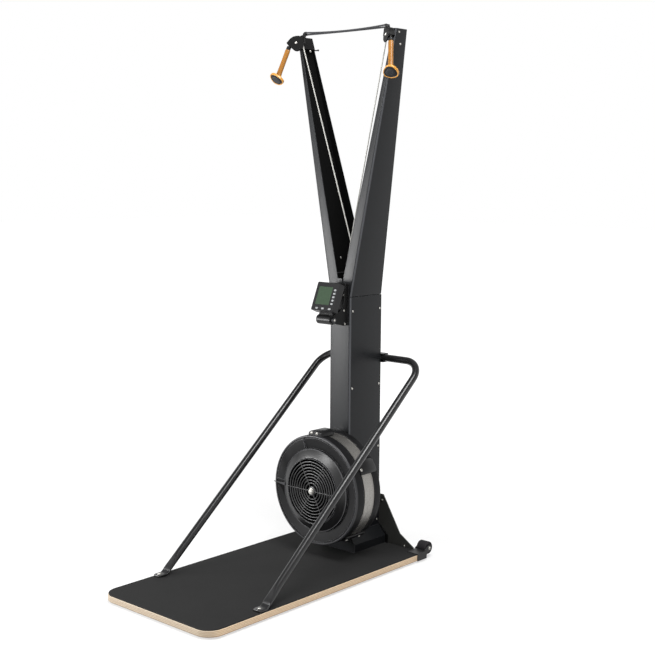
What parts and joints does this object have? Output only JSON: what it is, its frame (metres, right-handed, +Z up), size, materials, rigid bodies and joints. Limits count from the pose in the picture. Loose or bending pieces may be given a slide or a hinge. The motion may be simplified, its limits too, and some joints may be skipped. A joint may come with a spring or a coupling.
{
  "type": "ski trainer machine",
  "caption": "Standing ski trainer: forked column with pulley heads and hanging cord handles, fan housing with damper, tilting monitor, slanted support tube and plywood platform with mat.",
  "frame": {"origin": "on the floor, under the centre of the whole machine's box", "axes": "+Z up, +X to the right of the user, who stands on the mat and faces +Y"},
  "size_m": [0.6726, 1.2884, 2.1869],
  "materials": {
    "plywood": "satin",
    "mat": "fine grain",
    "rubber": "matte",
    "paint": "satin powder coat",
    "bolt_steel": "satin",
    "band_steel": "satin",
    "fan_plastic": "satin",
    "small_plastic": "satin",
    "insert_rubber": "matte",
    "orange_grip": "satin",
    "pale_cord": "braided",
    "dark_cord": "braided",
    "button_grey": "satin",
    "lens": "clear gloss"
  },
  "bodies": {
    "frame": {"platform_board": "plywood", "platform_mat": "mat", "runner_front": "rubber", "runner_rear": "rubber", "column_shell": "paint", "column_rear_cover": "paint", "arm_left": "paint", "arm_right": "paint", "pulley_bracket_left": "paint", "pulley_bracket_right": "paint", "pulley_axle_left": "bolt_steel", "pulley_axle_right": "bolt_steel", "drive_cord_left": "pale_cord", "drive_cord_right": "pale_cord", "shock_cord_front": "dark_cord", "shock_cord_rear": "dark_cord", "fan_rear_shell": "fan_plastic", "fan_mesh_band": "band_steel", "fan_front_shell": "fan_plastic", "fan_clamp_top": "fan_plastic", "fan_clamp_side": "fan_plastic", "fan_clamp_bottom": "fan_plastic", "bearing_front": "bolt_steel", "bearing_rear": "bolt_steel", "support_tube": "paint", "tube_clamp": "paint", "gusset_plate": "paint", "column_shoe": "paint", "wheel_bracket_left": "paint", "wheel_bracket_right": "paint", "monitor_bracket": "paint", "monitor_pivot_knob": "bolt_steel"},
    "handle_left": {"handle_ferrule_left": "small_plastic", "handle_grip_left": "orange_grip", "handle_insert_left": "insert_rubber"},
    "pulley_left": {"pulley_left": "small_plastic"},
    "guide_wheel_left": {"guide_wheel_left": "small_plastic"},
    "cord_drum_left": {"cord_drum_left": "small_plastic"},
    "handle_right": {"handle_ferrule_right": "small_plastic", "handle_grip_right": "orange_grip", "handle_insert_right": "insert_rubber"},
    "pulley_right": {"pulley_right": "small_plastic"},
    "guide_wheel_right": {"guide_wheel_right": "small_plastic"},
    "cord_drum_right": {"cord_drum_right": "small_plastic"},
    "fan": {"fan_rotor": "fan_plastic", "fan_axle": "bolt_steel"},
    "damper": {"damper_ring": "fan_plastic"},
    "monitor": {"monitor_case": "small_plastic", "monitor_lens": "lens"},
    "button_side_1": {"button_side_1": "button_grey"},
    "button_side_2": {"button_side_2": "button_grey"},
    "button_side_3": {"button_side_3": "button_grey"},
    "button_side_4": {"button_side_4": "button_grey"},
    "button_side_5": {"button_side_5": "button_grey"},
    "button_low_1": {"button_low_1": "button_grey"},
    "button_low_2": {"button_low_2": "button_grey"},
    "button_low_3": {"button_low_3": "button_grey"},
    "wheel_left": {"wheel_left": "rubber"},
    "wheel_right": {"wheel_right": "rubber"}
  },
  "joints": [
    {"name": "handle_left_pull", "type": "slide", "parent": "frame", "child": "handle_left", "axis": [-0.225, -0.2701, -0.9362], "range_m": [0, 1.2], "stiffness_N_per_m": 8, "springref_m": -0.8},
    {"name": "pulley_left_spin", "type": "hinge", "parent": "frame", "child": "pulley_left", "pos_m": [-0.2457, 0.36145, 2.1405], "axis": [0.5595, -0.8224, 0.1027], "range_deg": [0, 2871]},
    {"name": "guide_wheel_left_spin", "type": "hinge", "parent": "frame", "child": "guide_wheel_left", "pos_m": [0.025, 0.43175, 1.2], "axis": [0, 1, 0], "range_deg": [-3444, 0]},
    {"name": "cord_drum_left_spin", "type": "hinge", "parent": "frame", "child": "cord_drum_left", "pos_m": [0, 0.43175, 0.3156], "axis": [0, 1, 0], "range_deg": [-1534, 0]},
    {"name": "handle_right_pull", "type": "slide", "parent": "frame", "child": "handle_right", "axis": [0.225, -0.2701, -0.9362], "range_m": [0, 1.2], "stiffness_N_per_m": 8, "springref_m": -0.8},
    {"name": "pulley_right_spin", "type": "hinge", "parent": "frame", "child": "pulley_right", "pos_m": [0.2457, 0.36145, 2.1405], "axis": [-0.5595, -0.8224, 0.1027], "range_deg": [-2871, 0]},
    {"name": "guide_wheel_right_spin", "type": "hinge", "parent": "frame", "child": "guide_wheel_right", "pos_m": [-0.025, 0.45175, 1.2], "axis": [0, 1, 0], "range_deg": [0, 3444]},
    {"name": "cord_drum_right_spin", "type": "hinge", "parent": "frame", "child": "cord_drum_right", "pos_m": [0, 0.45175, 0.3156], "axis": [0, 1, 0], "range_deg": [0, 1534]},
    {"name": "fan_spin", "type": "hinge", "parent": "frame", "child": "fan", "pos_m": [0, 0.30775, 0.3156], "axis": [0, 1, 0], "continuous": true},
    {"name": "damper_turn", "type": "hinge", "parent": "frame", "child": "damper", "pos_m": [0, 0.21775, 0.3156], "axis": [0, 1, 0], "range_deg": [0, 66]},
    {"name": "monitor_tilt", "type": "hinge", "parent": "frame", "child": "monitor", "pos_m": [0, 0.27975, 1.018], "axis": [1, 0, 0], "range_deg": [-8, 35]},
    {"name": "button_side_1_press", "type": "slide", "parent": "monitor", "child": "button_side_1", "axis": [0, 0.9252, -0.3795], "range_m": [0, 0.001], "stiffness_N_per_m": 300, "springref_m": -0.002},
    {"name": "button_side_2_press", "type": "slide", "parent": "monitor", "child": "button_side_2", "axis": [0, 0.9252, -0.3795], "range_m": [0, 0.001], "stiffness_N_per_m": 300, "springref_m": -0.002},
    {"name": "button_side_3_press", "type": "slide", "parent": "monitor", "child": "button_side_3", "axis": [0, 0.9252, -0.3795], "range_m": [0, 0.001], "stiffness_N_per_m": 300, "springref_m": -0.002},
    {"name": "button_side_4_press", "type": "slide", "parent": "monitor", "child": "button_side_4", "axis": [0, 0.9252, -0.3795], "range_m": [0, 0.001], "stiffness_N_per_m": 300, "springref_m": -0.002},
    {"name": "button_side_5_press", "type": "slide", "parent": "monitor", "child": "button_side_5", "axis": [0, 0.9252, -0.3795], "range_m": [0, 0.001], "stiffness_N_per_m": 300, "springref_m": -0.002},
    {"name": "button_low_1_press", "type": "slide", "parent": "monitor", "child": "button_low_1", "axis": [0, 0.9252, -0.3795], "range_m": [0, 0.001], "stiffness_N_per_m": 300, "springref_m": -0.002},
    {"name": "button_low_2_press", "type": "slide", "parent": "monitor", "child": "button_low_2", "axis": [0, 0.9252, -0.3795], "range_m": [0, 0.001], "stiffness_N_per_m": 300, "springref_m": -0.002},
    {"name": "button_low_3_press", "type": "slide", "parent": "monitor", "child": "button_low_3", "axis": [0, 0.9252, -0.3795], "range_m": [0, 0.001], "stiffness_N_per_m": 300, "springref_m": -0.002},
    {"name": "wheel_left_roll", "type": "hinge", "parent": "frame", "child": "wheel_left", "pos_m": [-0.267, 0.61775, 0.042], "axis": [1, 0, 0], "continuous": true},
    {"name": "wheel_right_roll", "type": "hinge", "parent": "frame", "child": "wheel_right", "pos_m": [0.267, 0.61775, 0.042], "axis": [1, 0, 0], "continuous": true}
  ],
  "couplings": [
    {"joint": "pulley_left_spin", "follows": "handle_left_pull", "rad_per_m": 41.667},
    {"joint": "guide_wheel_left_spin", "follows": "handle_left_pull", "rad_per_m": -50},
    {"joint": "cord_drum_left_spin", "follows": "handle_left_pull", "rad_per_m": -22.222},
    {"joint": "pulley_right_spin", "follows": "handle_right_pull", "rad_per_m": -41.667},
    {"joint": "guide_wheel_right_spin", "follows": "handle_right_pull", "rad_per_m": 50},
    {"joint": "cord_drum_right_spin", "follows": "handle_right_pull", "rad_per_m": 22.222}
  ]
}
